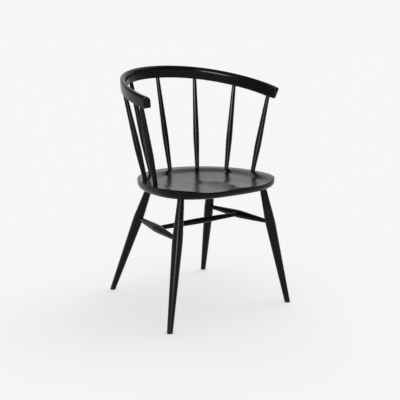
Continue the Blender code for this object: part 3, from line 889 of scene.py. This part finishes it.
def build_floor():
    half = FLOOR_SIZE / 2.0
    mesh = bpy.data.meshes.new("floor")
    corners = [(-half, -half, 0.0), (half, -half, 0.0), (half, half, 0.0), (-half, half, 0.0)]
    mesh.from_pydata(corners, [], [(0, 1, 2, 3)])
    material = bpy.data.materials.new("floor_paper")
    material.use_nodes = True
    surface = material.node_tree.nodes["Principled BSDF"]
    surface.inputs["Base Color"].default_value = FLOOR_COLOUR
    surface.inputs["Roughness"].default_value = 1.0
    surface.inputs["Specular IOR Level"].default_value = 0.0
    surface.inputs["Emission Color"].default_value = WHITE
    seen = background_ray(material.node_tree)
    glow = combined(material.node_tree, "MULTIPLY", seen, FLOOR_GLOW)
    material.node_tree.links.new(glow, surface.inputs["Emission Strength"])
    mesh.materials.append(material)
    floor = bpy.data.objects.new("floor", mesh)
    bpy.context.scene.collection.objects.link(floor)


def within(tree, angle, limit):
    """1 where an angle is under a limit and 0 past it, with a soft step between."""
    return ranged(tree, angle, limit - PANEL_SOFTNESS, limit + PANEL_SOFTNESS, 1.0, 0.0)


def panel_light(tree, parts, panel):
    """The light of one soft-edged panel of the studio, in the direction that the parts give."""
    azimuth, half_width, low, high, strength = panel
    level = add_node(tree, "ShaderNodeCombineXYZ")
    tree.links.new(parts.outputs["X"], level.inputs["X"])
    tree.links.new(parts.outputs["Y"], level.inputs["Y"])
    unit = add_node(tree, "ShaderNodeVectorMath", operation="NORMALIZE")
    tree.links.new(level.outputs["Vector"], unit.inputs[0])
    facing = add_node(tree, "ShaderNodeVectorMath", operation="DOT_PRODUCT")
    turn = math.radians(azimuth)
    facing.inputs[1].default_value = (math.sin(turn), math.cos(turn), 0.0)
    tree.links.new(unit.outputs["Vector"], facing.inputs[0])
    away = add_node(tree, "ShaderNodeMath", operation="ARCCOSINE")
    tree.links.new(facing.outputs["Value"], away.inputs[0])
    lift = add_node(tree, "ShaderNodeMath", operation="ARCSINE")
    tree.links.new(parts.outputs["Z"], lift.inputs[0])
    across = within(tree, away.outputs["Value"], math.radians(half_width))
    above = combined(tree, "SUBTRACT", 1.0, within(tree, lift.outputs["Value"], math.radians(low)))
    below = within(tree, lift.outputs["Value"], math.radians(high))
    light = combined(tree, "MULTIPLY", across, combined(tree, "MULTIPLY", above, below))
    return combined(tree, "MULTIPLY", light, strength)


def light_world():
    """A pale horizon under a dim sky, with large soft panels round the chair."""
    world = bpy.data.worlds.new("studio")
    bpy.context.scene.world = world
    world.use_nodes = True
    tree = world.node_tree
    background = tree.nodes["Background"]
    direction = add_node(tree, "ShaderNodeTexCoord").outputs["Generated"]
    parts = add_node(tree, "ShaderNodeSeparateXYZ")
    tree.links.new(direction, parts.inputs["Vector"])
    height = parts.outputs["Z"]
    light = ranged(tree, height, HORIZON_BAND, HORIZON_TOP, HORIZON_LIGHT, SKY_LIGHT)
    for panel in (BACKDROP_PANEL, SIDE_PANEL):
        light = combined(tree, "MAXIMUM", light, panel_light(tree, parts, panel))
    tree.links.new(light, background.inputs["Strength"])
    background.inputs["Color"].default_value = WHITE


def light_strip(name, strip, lacquers):
    """A rectangular lamp that lights the pieces in the given lacquers alone.

    It gives their curves narrow highlights, and its energy is set so that its face shines with the
    strip's strength.
    """
    azimuth, half_width, low, high, strength = strip
    turn = math.radians(azimuth)
    lift = math.radians((low + high) / 2.0)
    direction = Vector((
        math.sin(turn) * math.cos(lift),
        math.cos(turn) * math.cos(lift),
        math.sin(lift),
    ))
    lamp = bpy.data.lights.new(name, "AREA")
    lamp.shape = "RECTANGLE"
    lamp.size = 2.0 * STRIP_DISTANCE * math.tan(math.radians(half_width))
    lamp.size_y = 2.0 * STRIP_DISTANCE * math.tan(math.radians((high - low) / 2.0))
    lamp.energy = strength * math.pi * lamp.size * lamp.size_y
    holder = bpy.data.objects.new(name, lamp)
    bpy.context.scene.collection.objects.link(holder)
    facing = direction.to_track_quat("Z", "Y").to_matrix().to_4x4()
    holder.matrix_world = Matrix.Translation(STRIP_TARGET + STRIP_DISTANCE * direction) @ facing
    holder.visible_camera = False
    lit = bpy.data.collections.new(name + "_lit")
    for piece in bpy.context.scene.objects:
        if piece.type == "MESH" and piece.active_material:
            if piece.active_material.name in lacquers:
                lit.objects.link(piece)
    holder.light_linking.receiver_collection = lit


def light_overhead():
    lamp = bpy.data.lights.new("overhead", "SUN")
    lamp.energy = OVERHEAD_LIGHT
    lamp.angle = OVERHEAD_SPREAD
    holder = bpy.data.objects.new("overhead", lamp)
    holder.visible_glossy = False
    bpy.context.scene.collection.objects.link(holder)


def place_camera():
    azimuth, elevation, roll = CAMERA_AZIMUTH, CAMERA_ELEVATION, CAMERA_ROLL
    back = Vector((
        math.sin(azimuth) * math.cos(elevation),
        -math.cos(azimuth) * math.cos(elevation),
        math.sin(elevation),
    ))
    level = Vector((math.cos(azimuth), math.sin(azimuth), 0.0))
    upright = back.cross(level)
    right = math.cos(roll) * level + math.sin(roll) * upright
    up = math.cos(roll) * upright - math.sin(roll) * level
    camera = bpy.data.cameras.new("camera")
    camera.lens = CAMERA_LENS
    camera.sensor_width = CAMERA_SENSOR
    holder = bpy.data.objects.new("camera", camera)
    bpy.context.scene.collection.objects.link(holder)
    turn = Matrix((right, up, back)).transposed().to_4x4()
    holder.matrix_world = Matrix.Translation(CAMERA_PLACE) @ turn
    bpy.context.scene.camera = holder


def build_chair():
    seat_lacquer = lacquered_wood("seat_lacquer", SEAT_LACQUER)
    bow_lacquer = lacquered_wood("bow_lacquer", BOW_LACQUER)
    turned_lacquer = lacquered_wood("turned_lacquer", TURNED_LACQUER)
    build_seat(seat_lacquer)
    build_bow(bow_lacquer)
    build_spindles(turned_lacquer)
    for side, word in ((-1.0, "left"), (1.0, "right")):
        build_leg("leg_front_" + word, side, True, turned_lacquer)
        build_leg("leg_back_" + word, side, False, turned_lacquer)
        build_side_stretcher("stretcher_" + word, side, turned_lacquer)
    build_cross_stretcher(turned_lacquer)


build_chair()
build_floor()
light_world()
light_strip("front_strip", FRONT_STRIP, FRONT_STRIP_LACQUERS)
light_strip("left_strip", LEFT_STRIP, LEFT_STRIP_LACQUERS)
light_overhead()
place_camera()
bpy.context.scene.view_settings.view_transform = "Standard"
